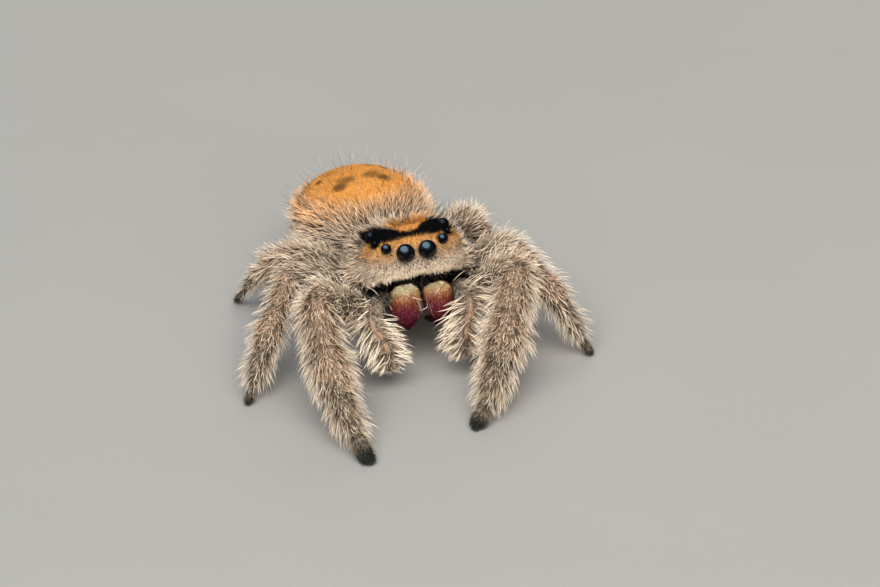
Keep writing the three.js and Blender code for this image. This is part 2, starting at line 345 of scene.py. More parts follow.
def voxel_union(shapes, voxel):
    """The outer surface of overlapping shapes, as vertices and triangles."""
    holder = bpy.data.objects.new("union", new_mesh("union", *joined(shapes), scale=1))
    bpy.context.scene.collection.objects.link(holder)
    change = holder.modifiers.new("union", "REMESH")
    change.mode = "VOXEL"
    change.voxel_size = voxel
    graph = bpy.context.evaluated_depsgraph_get()
    made = bpy.data.meshes.new_from_object(holder.evaluated_get(graph))
    outer = shape_of(made)
    source = holder.data
    bpy.data.objects.remove(holder)
    bpy.data.meshes.remove(source)
    bpy.data.meshes.remove(made)
    return outer


def shrunk(shape, depth, steps=6):
    """A shape drawn in along its normals, by a depth for each vertex, and relaxed on the way."""
    verts, tris = shape
    edges = edges_of(tris)
    for _ in range(steps):
        verts = verts - vertex_normals(verts, tris) * (depth / steps)[:, None]
        verts = relaxed(verts, edges, 1, 0.3)
    return verts, tris


def smoothed_node(name, voxel, inset):
    """One solid with its facets smoothed away, drawn in by the inset."""
    verts, tris = voxel_union([node_shape(name)], voxel)
    verts = relaxed(verts, edges_of(tris), 6, 0.5)
    return shrunk((verts, tris), np.full(len(verts), inset), 2)


def add_piece(name, mesh, material, replaced=()):
    piece = bpy.data.objects.new(name, mesh)
    bpy.context.scene.collection.objects.link(piece)
    piece.data.materials.append(material)
    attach(piece, "root")
    if replaced:
        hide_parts(*replaced)
    return piece


def write_colour(mesh, name, values):
    layer = mesh.color_attributes.new(name, "FLOAT_COLOR", "POINT")
    layer.data.foreach_set("color", values.astype(np.float32).ravel())


# ---- markings, the same for skin and hair ----

EYES_MIDDLE = (node_middle("eye_front_middle_left") + node_middle("eye_front_middle_right")) / 2


def ramp(value, low, high):
    """From 0 at low to 1 at high, smoothly."""
    t = np.clip((value - low) / (high - low), 0, 1)
    return t * t * (3 - 2 * t)


def head_place(places):
    """Places in the head's own frame, from the point midway between the front eyes."""
    return (places - EYES_MIDDLE) @ HEAD_TURN


def abdomen_place(places):
    """Places in the abdomen's own frame, as shares of its half sizes."""
    return (places - node_middle("abdomen")) @ ABDOMEN_TURN / node_reach("abdomen")


# The black band over the eyes: half width of the head, then where the band starts and ends behind
# the front eyes.
BAND = (
    (0.0, 0.64, 0.94),
    (0.4, 0.63, 1.05),
    (0.75, 0.62, 1.5),
    (1.05, 0.6, 2.1),
    (1.4, 0.62, 2.7),
    (1.75, 0.85, 2.95),
    (2.05, 1.05, 2.75),
)

# How far the black fur goes round each kind of eye, and whether it goes below the eye as well.
EYE_RIMS = {"eye_front_side": (0.12, False), "eye_rear_small": (0.15, True), "eye_rear_side": (0.11, False)}
# The lower edge of the face over the jaws: half width of the head, then height.
MOUTH_EDGE = ((0.0, -1.2), (1.0, -1.22), (1.6, -1.3), (2.1, -1.42), (2.5, -1.55))


def eye_gap(places, eye):
    """The distance of each place from an eye's surface."""
    return np.linalg.norm(places - node_middle(eye), axis=1) - node_reach(eye).max()


def nearest_eye(places, eyes=EYES):
    """The distance of each place from the nearest of the eyes."""
    return np.min([eye_gap(places, eye) for eye in eyes], axis=0)


def eyes_of(kind):
    return [f"{kind}_{side}" for side in SIDES]


def mouth_edge(x):
    """The height of the lower edge of the face, at distances across the head."""
    return np.interp(np.abs(x), *np.array(MOUTH_EDGE).T)


def head_marks(places):
    """Orange, black and pale on the head; the black below the face's lower edge is painted shade."""
    x, y, z = head_place(places).T
    wide = np.abs(x)
    at, start, end = np.array(BAND).T
    band = np.minimum(y - np.interp(wide, at, start), np.interp(wide, at, end) - y)
    black = ramp(np.minimum(band, 2.1 - wide), -0.05, 0.05) * ramp(z, -0.2, 0.1)
    for kind, (rim, below) in EYE_RIMS.items():
        for eye in eyes_of(kind):
            above = 1 if below else ramp(z - head_place(node_middle(eye))[2], -0.08, 0.12)
            black = np.maximum(black, ramp(rim - eye_gap(places, eye), 0, 0.06) * above)
    # mouth: painted shade, black below the lower edge of the face, where the jaws sit in shadow.
    mouth = ramp(mouth_edge(x) - z, -0.04, 0.05) * ramp(1.7 - y, 0, 0.3)
    crown = ramp(2.75 - y + 0.35 * ramp(wide, 0.4, 1.2), 0, 0.4) * ramp(1.35 - np.abs(x - 0.45), 0, 0.35)
    low = -0.3 - 0.12 * ramp(wide, 0.6, 1.2) + 0.15 * ramp(wide, 2.1, 2.6)
    face = 0.95 * ramp(z - low, -0.35, 0.45) * ramp(2.95 - wide, 0, 0.5) * ramp(1.5 - y, 0, 0.5)
    face *= 1 - 0.3 * ramp(0.45 - z, 0, 0.7)
    pale = 0.35 + 0.65 * np.maximum(ramp(-z, 0.1, 0.8), ramp(wide, 2.2, 2.8)) * ramp(3.0 - y, 0, 1.5)
    return np.maximum(crown * ramp(y, 0.9, 1.1), face), np.maximum(black, mouth), pale


def hollow(places):
    """Painted shade in the hollow under the face, behind the jaws: darkens the places where shade falls."""
    x, y, z = head_place(places).T
    inside = ramp(mouth_edge(x) - z, 0, 0.12) * ramp(y, -0.3, 0.1) * ramp(3.0 - y, 0, 0.5)
    return inside * ramp(2.8 - np.abs(x), 0, 0.35)


# The dull spots on the back: place across and along, reach each way, and strength.
SPOTS = (
    (0.18, 0.02, 0.12, 0.08, 0.6),
    (0.33, -0.07, 0.1, 0.085, 0.75),
    (0.25, 0.06, 0.08, 0.06, 0.5),
    (0.49, 0.31, 0.04, 0.045, 0.85),
    (0.3, 0.38, 0.07, 0.05, 0.35),
    (0.24, 0.68, 0.06, 0.05, 0.35),
)


def back_reach(u, v):
    """How far out each place is on the back: 1 is near the edge of the orange."""
    return np.sqrt((u / 0.86) ** 2 + ((v - 0.2) / 0.8) ** 2)


def abdomen_marks(places):
    """Orange, dull black spots and pale on the abdomen."""
    u, v, w = abdomen_place(places).T
    orange = ramp(1.17 - back_reach(u, v), 0, 0.45) * ramp(w, 0.25, 0.6)
    dark = np.zeros(len(u))
    for across, along, wide, long, strength in SPOTS:
        gap = np.sqrt(((np.abs(u) - across) / wide) ** 2 + ((v - along) / long) ** 2)
        dark = np.maximum(dark, strength * ramp(1.4 - gap, 0, 0.8) * ramp(w, 0.2, 0.4))
    pale = 0.25 + 0.75 * np.maximum(ramp(-w, -0.75, -0.1), ramp(np.abs(u), 0.5, 0.8))
    return orange, dark, pale


def limb_marks(limb, places):
    """Black, pale, tan and slate along a limb; on a feeler the black at its base is painted shade."""
    along, _, out = limb.read(places)
    none = np.zeros(len(along))
    ring = ramp(0.17 - limb.joint_gap(along), 0, 0.14)
    if limb.name.startswith("palp"):
        elbow, _, wrist = limb.joints
        bare = ramp(along, elbow - 0.5, elbow) * ramp(wrist + 0.3 - along, 0, 0.5)
        # base: painted shade, black at the feeler's base beside the jaws.
        base = 0.85 * ramp(elbow - 0.5 - along, 0, 0.7)
        ridge = ramp(0.42 - np.abs(out[:, 0]), 0, 0.3)
        return np.maximum(0.5 * ring, base), none + 0.45, 0.75 * bare * ridge, none
    knee, _, tibia, ankle = limb.joints
    end = limb.along[-1]
    warm = ramp(along, knee - 1.2, knee + 0.2) * ramp(tibia - along, 0, 1.2)
    foot = 0.95 * ramp(along, ankle - 0.15 * (end - ankle), ankle + 0.7 * (end - ankle))
    return 0.6 * ring, none + 0.12, 0.4 * warm, foot


BODY_MARKS = {"cephalothorax": head_marks, "abdomen": abdomen_marks, "spinnerets": abdomen_marks}
ORANGE, BLACK, PALE, TAN, SLATE = range(5)


def markings(places, family):
    """Masks at each place: orange, black, pale, tan and slate. The black also holds painted shade under the
    face.
    """
    masks = np.zeros((len(places), SLATE + 1))
    for part, marks in BODY_MARKS.items():
        mine = family == part
        if mine.any():
            masks[mine, :TAN] = np.stack(marks(places[mine]), axis=1)
    for name, limb in LIMBS.items():
        mine = np.char.startswith(family, name)
        if mine.any():
            masks[mine, BLACK:] = np.stack(limb_marks(limb, places[mine]), axis=1)
    # The hollow under the face is painted black as shade.
    masks[:, BLACK] = np.maximum(masks[:, BLACK], hollow(places))
    return masks


# ---- the skin ----

JOIN = 0.08  # how much the solids are grown to close the cuts between them
EYE_INSET = 0.05  # how much smaller than the eyes the flesh behind them is
GROUP_VOXEL = 0.1
SKIN_VOXEL = 0.086


class Surface:
    """A surface for hairs to grow on, with the name of the solid that it follows at each vertex."""

    def __init__(self, verts, tris, family):
        self.verts = verts
        self.tris = tris
        self.normals = vertex_normals(verts, tris)
        self.family = family

    def share(self, test):
        """1 at the vertices on the solids whose names pass the test, 0 elsewhere."""
        passed = [name for name in set(self.family) if test(name)]
        return np.isin(self.family, passed).astype(float)


def skin_depths(places):
    """How far below the solids' surface the skin lies at each place."""
    family = families_of(places)
    depth = {name: coat_depth(name) for name in FLESH}
    depths = np.array([depth[name] for name in family])
    head = family == "cephalothorax"
    x, y, z = head_place(places[head]).T
    face = ramp(2.2 - y, 0, 1.0) * ramp(2.9 - np.abs(x), 0, 0.6)
    depths[head] += (FACE_DEPTH - COAT_DEPTH["cephalothorax"]) * face
    depths[head] += (MOUTH_DEPTH - FACE_DEPTH) * ramp(-z - 1.3, 0, 0.2) * face
    for name, limb in LIMBS.items():
        mine = np.char.startswith(family, name)
        if mine.any():
            along = limb.read(places[mine])[0]
            depths[mine] += JOINT_PINCH * ramp(0.25 - limb.joint_gap(along), 0, 0.2)
            if name.startswith("palp"):
                depths[mine] *= 0.4 + 0.6 * ramp(along - limb.joints[0], 0.3, 1.0)
    return depths


def jaw_root(name):
    """The flesh that a jaw hangs from, dark from the painted shade under the face: a jaw's own shape, moved
    up and back into the head.
    """
    verts, tris = node_shape(name)
    middle = node_middle(name)
    wider = (verts - middle) @ HEAD_TURN * (1.2, 0.8, 1.0) + (0, 0.35, 0.42)
    return middle + wider @ HEAD_TURN.T, tris


def flesh_group(names):
    """The flesh of some of the solids as one smooth body, drawn in by the depth of the coat."""
    shapes = []
    for name in names:
        verts, tris = FLESH_SHAPES[name]
        growth = -EYE_INSET if name in EYES else JOIN
        shapes.append((verts + vertex_normals(verts, tris) * growth, tris))
    if "abdomen" in names:
        shapes += [jaw_root(f"chelicera_{side}") for side in SIDES]
    verts, tris = voxel_union(shapes, GROUP_VOXEL)
    edges = edges_of(tris)
    verts = relaxed(verts, edges, 14, 0.5)
    return shrunk((verts, tris), relaxed(skin_depths(verts), edges, 8, 0.5) + JOIN)


def build_skin():
    """The body and each limb are smoothed alone, so that limbs that touch stay apart, then joined."""
    groups = [["cephalothorax", "abdomen", "spinnerets"] + EYES]
    for name in LIMBS:
        groups.append(["cephalothorax"] + [n for n in FLESH if n.startswith(name)])
    verts, tris = voxel_union([flesh_group(names) for names in groups], SKIN_VOXEL)
    verts = relaxed(verts, edges_of(tris), 4, 0.4)
    return Surface(verts, tris, families_of(verts))


# ---- hair ----

HAIR_SIDES = 3
HAIR_WIDTHS = (0.75, 1.2)  # how much the hairs of one kind differ in width
ROOT_DEPTH = 0.03  # how far below the skin each hair starts
STEEPEST = 88  # degrees from the skin
FLOOR_GAP = 0.004  # no hair is nearer to the floor
PATCH = 0.003  # how wide each hair's patch is in the bake map
CLUMP_WAVES = 33.0  # radians per millimetre
DARK_SHARE = 2.6  # makes up for the clumps, where no dark hairs grow


@dataclass
class Kind:
    """One kind of hair. Lengths and widths are in millimetres, and lift is in degrees from the skin."""

    density: float  # hairs per square millimetre
    length: tuple
    lift: tuple
    width: float
    bend: float = 0.45  # the share of its lift that a hair loses by its tip
    scatter: float = 0.3
    curl: float = 0.3
    dark: float = 0.1  # the share of dark hairs
    segments: int = 2
    light: float = 0.0  # how much less dark the root is
    stout: float = 0.75  # scales the width of the dark hairs


KINDS = {
    "face": Kind(680, (0.11, 0.2), (16, 40), 0.0105, scatter=0.35, dark=0.17, light=0.1, stout=1.7),
    "under": Kind(70, (0.4, 0.8), (20, 60), 0.015, scatter=0.5, dark=0.0),
    "fringe": Kind(900, (0.24, 0.42), (0, 30), 0.0125, bend=0.8, scatter=0.15, dark=0.0, light=0.4),
    "cheek": Kind(110, (0.5, 0.95), (22, 52), 0.0185, curl=0.4, segments=3, light=0.2),
    "crown": Kind(85, (0.5, 0.95), (26, 58), 0.0185, scatter=0.4, curl=0.4, dark=0.13, segments=3, light=0.1),
    "velvet": Kind(430, (0.13, 0.24), (12, 34), 0.0125, dark=0.06, light=0.4),
    "shaggy": Kind(74, (0.6, 1.05), (28, 68), 0.018, bend=0.3, scatter=0.4, dark=0.12, segments=3, light=0.1),
    "flank": Kind(95, (0.45, 0.8), (18, 48), 0.016, dark=0.12, light=0.15),
    "wisp": Kind(5, (0.9, 1.5), (50, 85), 0.0095, bend=0.25, scatter=0.6, dark=0.25, segments=3),
    "leg": Kind(76, (0.38, 0.7), (16, 48), 0.0215, bend=0.3, dark=0.3),
    "ridge": Kind(230, (0.16, 0.3), (12, 38), 0.015, scatter=0.35, segments=1, light=0.25),
    "leg_fringe": Kind(36, (0.85, 1.35), (42, 72), 0.0205, scatter=0.25, dark=0.02, segments=3, light=0.2),
    "leg_wisp": Kind(3, (0.9, 1.4), (45, 75), 0.0095, bend=0.2, dark=0.3, segments=3),
    "foot": Kind(300, (0.22, 0.4), (20, 55), 0.0125, bend=0.3, dark=0.0),
    "palp": Kind(210, (0.2, 0.38), (20, 52), 0.0145, scatter=0.45, dark=0.2, light=0.1),
    "palp_fringe": Kind(27, (0.95, 1.45), (40, 76), 0.0275, scatter=0.16, dark=0.0, segments=4, light=0.45),
    "jaw": Kind(620, (0.12, 0.24), (16, 44), 0.0115, scatter=0.22, dark=0.0, light=0.2),
    "mane": Kind(150, (0.14, 0.28), (8, 30), 0.0115, dark=0.0, segments=3, light=0.3),
    "whisker": Kind(
        50, (0.6, 1.0), (6, 20), 0.0105, scatter=0.05, curl=0.05, dark=0.0, segments=3, light=0.4
    ),
    "bristle": Kind(16, (0.9, 1.6), (50, 80), 0.0145, bend=0.15, scatter=0.6, dark=1.0, segments=4),
}


def hair_template(segments):
    """Triangles of one hair over its own vertices, and where each corner lies in the hair's patch."""
    tris, spots = [], []
    for k in range(segments):
        low, high = k / segments, (k + 1) / segments
        for j in range(HAIR_SIDES):
            a, b = k * HAIR_SIDES + j, k * HAIR_SIDES + (j + 1) % HAIR_SIDES
            left, right = j / HAIR_SIDES, (j + 1) / HAIR_SIDES
            if k == segments - 1:
                tris.append((a, b, segments * HAIR_SIDES))
                spots.append(((left, low), (right, low), ((left + right) / 2, high)))
            else:
                tris += [(a, b, b + HAIR_SIDES), (a, b + HAIR_SIDES, a + HAIR_SIDES)]
                spots.append(((left, low), (right, low), (right, high)))
                spots.append(((left, low), (right, high), (left, high)))
    tris.append((2, 1, 0))
    spots.append(((0.6, 0), (0.3, 0), (0, 0)))
    return np.array(tris), np.array(spots)


def clumps(places):
    """A soft random-looking pattern over the places, from 0 to 1, about a fifth of a millimetre across."""
    x, y, z = (places * CLUMP_WAVES).T
    wave = np.sin(x + 1.3 * np.sin(0.7 * y + z)) + np.sin(y * 1.1 + 1.7 * np.sin(0.6 * z - x))
    wave += np.sin(z * 1.2 + 1.5 * np.sin(0.8 * x - y))
    return 0.5 + wave / 6


class Roots:
    """Places on a surface where hairs grow."""

    def __init__(self, surface, share, density, seed):
        """share is from 0 to 1 for each vertex, and thins the hairs where it is low."""
        self.rng = np.random.default_rng(seed)
        share = share[surface.tris].mean(axis=1)
        t = surface.tris[share > 0.01]
        a, b, c = (surface.verts[t[:, k]] for k in range(3))
        weight = np.linalg.norm(np.cross(b - a, c - a), axis=1) / 2 * share[share > 0.01]
        self.count = int(weight.sum() * density)
        pick = np.searchsorted(np.cumsum(weight) / weight.sum(), self.rng.random(self.count))
        pick = t[np.minimum(pick, len(t) - 1)]
        r, q = np.sqrt(self.rng.random(self.count)), self.rng.random(self.count)
        mix = np.stack([1 - r, r * (1 - q), r * q], axis=1)[:, :, None]
        self.places = (surface.verts[pick] * mix).sum(axis=1)
        self.normals = unit((surface.normals[pick] * mix).sum(axis=1))
        self.family = surface.family[pick[:, 0]]
        self.stand = np.ones(self.count)  # scales how steeply each hair stands
        self.tone = self.rng.random(self.count)  # how light each hair is, from 0 to 1
        self.masks = markings(self.places, self.family)
        self.dark = 1 - self.masks[:, BLACK]  # scales the chance that each hair is a dark one
        self.clump = clumps(self.places)

    def spread(self, limits):
        return self.rng.uniform(*limits, self.count)


def hair_layer(surface, unwrap, kind, share, flow, seed, size=None, edit=None):
    """The hairs of one kind: their vertices, triangles, patch corners, marks and hair values.

    Flow gives the way they lie and size scales their length, for the roots. Edit changes the roots.
    """
    scale = bpy.context.scene.spider_coat
    kind = KINDS[kind]
    roots = Roots(surface, share, kind.density * scale.density, seed + scale.seed)
    n = roots.count
    if edit:
        edit(roots)
    way = flow(roots)
    way = unit(way - (way * roots.normals).sum(axis=1)[:, None] * roots.normals)
    side = np.cross(roots.normals, way)
    way = unit(way + side * roots.rng.normal(0, kind.scatter, n)[:, None])
    side = np.cross(roots.normals, way) * roots.rng.normal(0, kind.curl, n)[:, None]
    length = roots.spread(kind.length) * scale.length
    width = kind.width * scale.width * roots.spread(HAIR_WIDTHS)
    if size:
        length = length * size(roots)
    chance = kind.dark * roots.dark * DARK_SHARE * (1 - roots.clump) ** 1.5
    dark = (roots.rng.random(n) < chance).astype(float)
    width = width * (1 + (kind.stout - 1) * dark)
    lift = np.radians(np.minimum(roots.spread(kind.lift) * roots.stand, STEEPEST))
    verts = hair_vertices(roots, kind, way, side, length, width, lift)
    tris, spots = hair_template(kind.segments)
    each = verts.shape[1]
    marks = np.repeat(roots.masks[:, None, :SLATE], each, axis=1)
    rise = np.minimum(np.arange(each) // HAIR_SIDES, kind.segments) / kind.segments
    hair = np.empty((n, each, 4))
    hair[:, :, 0] = (roots.tone * 0.55 + roots.clump * 0.45)[:, None]
    # The rise up each hair, which runs from its painted root shade to its painted tip light.
    hair[:, :, 1] = kind.light + (1 - kind.light) * rise
    hair[:, :, 2] = roots.masks[:, SLATE, None]
    hair[:, :, 3] = dark[:, None]
    spots = unwrap(roots)[:, None, None] + (spots[None] - 0.5) * PATCH
    tris = tris[None] + (np.arange(n) * each)[:, None, None]
    return [values.reshape(-1, values.shape[-1]) for values in (verts, tris, spots, marks, hair)]


def hair_vertices(roots, kind, way, side, length, width, lift):
    """Rings of three vertices up each bent, tapered hair, and one at its tip."""
    point = roots.places - roots.normals * ROOT_DEPTH
    verts = np.empty((roots.count, kind.segments * HAIR_SIDES + 1, 3))
    for k in range(kind.segments + 1):
        t = k / kind.segments
        angle = lift * (1 - kind.bend * t)
        ahead = unit(np.cos(angle)[:, None] * (way + side * t) + np.sin(angle)[:, None] * roots.normals)
        if k > 0:
            point = point + ahead * (length / kind.segments)[:, None]
        across = unit(np.cross(ahead, roots.normals))
        over = np.cross(across, ahead)
        thick = (width * (1 - t) ** 0.6)[:, None]
        for j in range(HAIR_SIDES if k < kind.segments else 1):
            turn = 2 * math.pi * j / HAIR_SIDES + 0.5
            offset = (math.cos(turn) * across + math.sin(turn) * over) * thick
            verts[:, k * HAIR_SIDES + j] = point + offset
    verts[:, :, 2] = np.maximum(verts[:, :, 2], FLOOR_GAP)
    return verts


def grow_coat(name, surface, unwrap, layers, material=None):
    """Makes one piece of the coat. A layer is a kind, share, flow, seed, and maybe a size and an edit."""
    layers = [hair_layer(surface, unwrap, *layer) for layer in layers]
    mesh = new_mesh(name, *joined([layer[:2] for layer in layers]))
    spots, marks, hair = (np.concatenate(column) for column in zip(*[layer[2:] for layer in layers]))
    mesh.uv_layers.new(name="OFBake").uv.foreach_set("vector", spots.astype(np.float32).ravel())
    write_colour(mesh, "marks", marks)
    write_colour(mesh, "hair", hair)
    add_piece(name, mesh, material or fur_material())


def ball_unwrap(centre):
    """Lays a rounded body out by its longitude and latitude."""

    def unwrap(roots):
        v = unit(roots.places - centre)
        u = 0.5 + np.arctan2(v[:, 0], -v[:, 1]) / (2 * math.pi)
        return 0.01 + 0.98 * np.stack([u, 0.5 + np.arcsin(v[:, 2]) / math.pi], axis=1)

    return unwrap


def limb_unwrap(limb):
    """Lays a limb out by its girth and length."""

    def unwrap(roots):
        along, tangent, out = limb.read(roots.places)
        side = unit(np.cross(tangent, UP))
        over = np.cross(side, tangent)
        turn = np.arctan2((out * side).sum(axis=1), (out * over).sum(axis=1)) / (2 * math.pi) + 0.5
        return 0.01 + 0.98 * np.stack([turn, along / limb.along[-1]], axis=1)

    return unwrap


def one_way(direction):
    """A flow in one direction all over."""
    return lambda roots: np.broadcast_to(direction, roots.places.shape)


def fanned(spread, ahead, rise):
    """A flow that spreads from the middle of the head, in the head's own frame."""
    return lambda roots: (head_place(roots.places) * (spread, 0, 0) + (0, ahead, rise)) @ HEAD_TURN.T


def painted(masks, low=0.0, reach=1.0):
    """An edit that sets some of the roots' masks, and makes their tone low plus reach times the tone."""

    def edit(roots):
        for mask, value in masks.items():
            roots.masks[:, mask] = value
        roots.tone[:] = low + reach * roots.tone

    return edit


# ---- materials ----


class Nodes:
    """A short way to add and link shader nodes."""

    def __init__(self, tree):
        self.tree = tree

    def put(self, target, value):
        """Sets a socket to a value, or links it to another socket."""
        if isinstance(value, bpy.types.NodeSocket):
            self.tree.links.new(value, target)
        else:
            target.default_value = value

    def add(self, kind, inputs=(), **options):
        """A new node's outputs."""
        node = self.tree.nodes.new(kind)
        for key, value in options.items():
            setattr(node, key, value)
        for key, value in dict(inputs).items():
            self.put(node.inputs[key], value)
        return node.outputs

    def shade(self, **inputs):
        """Sets or links inputs of the material's own shader."""
        shader = self.tree.nodes["Principled BSDF"].inputs
        for key, value in inputs.items():
            self.put(shader[SHADER_INPUTS[key]], value)

    def mix(self, factor, a, b, blend="MIX"):
        return self.add("ShaderNodeMix", {0: factor, 6: a, 7: b}, data_type="RGBA", blend_type=blend)[2]

    def math(self, operation, *values):
        return self.add("ShaderNodeMath", enumerate(values), operation=operation)[0]

    def scaled(self, colour, factor):
        return self.add("ShaderNodeVectorMath", {0: colour, "Scale": factor}, operation="SCALE")[0]

    def attribute(self, name):
        """A surface's own colour attribute, as red, green, blue and alpha."""
        outputs = self.add("ShaderNodeAttribute", attribute_name=name)
        parts = self.add("ShaderNodeSeparateColor", {"Color": outputs["Color"]})
        return parts["Red"], parts["Green"], parts["Blue"], outputs["Alpha"]

    def ramp(self, factor, stops, interpolation="LINEAR"):
        """A colour that runs through the stops: their places and colours."""
        outputs = self.add("ShaderNodeValToRGB", {"Fac": factor})
        run = outputs["Color"].node.color_ramp
        run.interpolation = interpolation
        while len(run.elements) < len(stops):
            run.elements.new(0.5)
        for element, (place, colour) in zip(run.elements, stops):
            element.position = place
            element.color = rgba(colour)
        return outputs["Color"]

    def group(self, maker, inputs):
        """The outputs of a group that is built once, under its maker's name."""
        made = bpy.data.node_groups.get(maker.__name__) or maker(maker.__name__)
        return self.add("ShaderNodeGroup", inputs, node_tree=made)


SHADER_INPUTS = {
    "colour": "Base Color",
    "roughness": "Roughness",
    "specular": "Specular IOR Level",
    "metallic": "Metallic",
    "normal": "Normal",
}
COLOUR, FLOAT = "NodeSocketColor", "NodeSocketFloat"


def rgba(colour):
    return (*colour, 1.0)


def new_group(name, inputs, outputs):
    """An empty shader node group, its nodes, and the sockets that it is given and makes."""
    group = bpy.data.node_groups.new(name, "ShaderNodeTree")
    for side, sockets in (("INPUT", inputs), ("OUTPUT", outputs)):
        for label, kind in sockets.items():
            group.interface.new_socket(label, in_out=side, socket_type=kind)
    nodes = Nodes(group)
    return group, nodes, nodes.add("NodeGroupInput"), group.nodes.new("NodeGroupOutput").inputs


def marked_colour(name):
    """Lays the markings over a base colour."""
    inputs = dict.fromkeys(("Base", "Orange", "Black", "Pale", "Tan", "Marks"), COLOUR)
    group, nodes, given, made = new_group(name, inputs | {"Tan Mask": FLOAT}, {"Colour": COLOUR})
    masks = nodes.add("ShaderNodeSeparateColor", {"Color": given["Marks"]})
    colour = nodes.mix(masks["Blue"], given["Base"], given["Pale"])
    colour = nodes.mix(given["Tan Mask"], colour, given["Tan"])
    colour = nodes.mix(masks["Red"], colour, given["Orange"])
    nodes.put(made["Colour"], nodes.mix(masks["Green"], colour, given["Black"]))
    return group


def mottle(name):
    """Makes a colour darker and lighter in soft patches."""
    inputs = {"Colour": COLOUR, "Scale": FLOAT, "Strength": FLOAT}
    group, nodes, given, made = new_group(name, inputs, {"Colour": COLOUR, "Height": FLOAT})
    place = nodes.add("ShaderNodeTexCoord")["Object"]
    noise = nodes.add("ShaderNodeTexNoise", {"Detail": 4.0, "Vector": place, "Scale": given["Scale"]})
    swing = nodes.math("SUBTRACT", noise["Fac"], 0.5)
    shade = nodes.math("MULTIPLY_ADD", swing, given["Strength"], 1.0)
    nodes.put(made["Colour"], nodes.scaled(given["Colour"], shade))
    nodes.put(made["Height"], noise["Fac"])
    return group


JAW_STOPS = (
    (0.0, (0.85, 0.76, 0.52)),
    (0.13, (0.80, 0.62, 0.32)),
    (0.26, (0.66, 0.27, 0.10)),
    (0.4, (0.38, 0.07, 0.035)),
    (0.56, (0.27, 0.025, 0.055)),
    (1.0, (0.11, 0.008, 0.045)),
)
# Painted shade at the hairs' roots and painted light at their tips, which the rise up each hair runs between.
ROOT_PAINTED_SHADE = (0.15, 0.09, 0.055)
TIP_PAINTED_LIGHT = (1.14, 1.18, 1.22)
FUR_CONTRAST, JAW_HAIR_CONTRAST = 1.15, 2.6  # how far apart the lightest and darkest hairs are
WRINKLES = 1800.0  # the skin's wrinkles to a metre
WRINKLE_HEIGHT = 0.00002  # in metres


def jaw_colour(name):
    """Gold at the top of a jaw, through orange and red to purple at the bottom."""
    group, nodes, given, made = new_group(name, {"Drop": FLOAT}, {"Colour": COLOUR})
    nodes.put(made["Colour"], nodes.ramp(given["Drop"], JAW_STOPS))
    return group


def hair_shade(name):
    """Painted shade and light: darkens a hair at its root and lightens it at its tip, each hair a little
    differently from the next.
    """
    inputs = {"Colour": COLOUR, "Tone": FLOAT, "Rise": FLOAT, "Contrast": FLOAT}
    group, nodes, given, made = new_group(name, inputs, {"Colour": COLOUR})
    tone = nodes.math("MULTIPLY_ADD", nodes.math("SUBTRACT", given["Tone"], 0.5), given["Contrast"], 1.0)
    fade = nodes.mix(nodes.math("POWER", given["Rise"], 1.2), rgba(ROOT_PAINTED_SHADE), rgba(TIP_PAINTED_LIGHT))
    colour = nodes.mix(1.0, given["Colour"], fade, "MULTIPLY")
    nodes.put(made["Colour"], nodes.scaled(colour, tone))
    return group


def new_material(name):
    material = bpy.data.materials.new(name)
    material.use_nodes = True
    return material, Nodes(material.node_tree)


def marked(nodes):
    """The marked colour of the coat. The masks are the surface's own attribute."""
    marks = nodes.add("ShaderNodeAttribute", attribute_name="marks")
    tints = bpy.context.scene.spider_colours
    inputs = {"Base": tints.grey, "Orange": tints.orange, "Black": tints.black}
    inputs |= {"Pale": tints.cream, "Tan": tints.tan}
    inputs = {label: rgba(colour) for label, colour in inputs.items()}
    inputs |= {"Marks": marks["Color"], "Tan Mask": marks["Alpha"]}
    return nodes.group(marked_colour, inputs)["Colour"]


def fur_material():
    """Fur: the markings, with painted shade at the roots and painted light at the tips, and some dark hairs
    among the rest.
    """
    found = bpy.data.materials.get("fur")
    if found:
        return found
    material, nodes = new_material("fur")
    tints = bpy.context.scene.spider_colours
    tone, rise, slate, dark = nodes.attribute("hair")
    colour = nodes.mix(slate, marked(nodes), rgba(tints.slate))
    inputs = {"Colour": colour, "Tone": tone, "Rise": rise, "Contrast": FUR_CONTRAST}
    colour = nodes.group(hair_shade, inputs)["Colour"]
    nodes.shade(colour=nodes.mix(dark, colour, rgba(tints.bristle)), roughness=0.6, specular=0.04)
    return material


def skin_material():
    """Skin: darker than the fur over it, finely wrinkled, and marked the same."""
    material, nodes = new_material("skin")
    orange, _, _, tan = nodes.attribute("marks")
    shade = nodes.math("MULTIPLY_ADD", orange, 0.35, 0.08)
    shade = nodes.math("MULTIPLY_ADD", nodes.math("POWER", tan, 2.0), 0.4, shade)
    inputs = {"Colour": nodes.scaled(marked(nodes), shade), "Scale": WRINKLES, "Strength": 0.9}
    soft = nodes.group(mottle, inputs)
    relief = {"Strength": 0.5, "Distance": WRINKLE_HEIGHT, "Height": soft["Height"]}
    bump = nodes.add("ShaderNodeBump", relief)
    nodes.shade(colour=soft["Colour"], normal=bump[0], roughness=0.8, specular=0.03)
    return material


def plain_material(name, colour, roughness, scale, strength, specular=0.5):
    """A material of one mottled colour."""
    material, nodes = new_material(name)
    soft = nodes.group(mottle, {"Colour": rgba(colour), "Scale": scale, "Strength": strength})
    nodes.shade(colour=soft["Colour"], roughness=roughness, specular=specular)
    return material


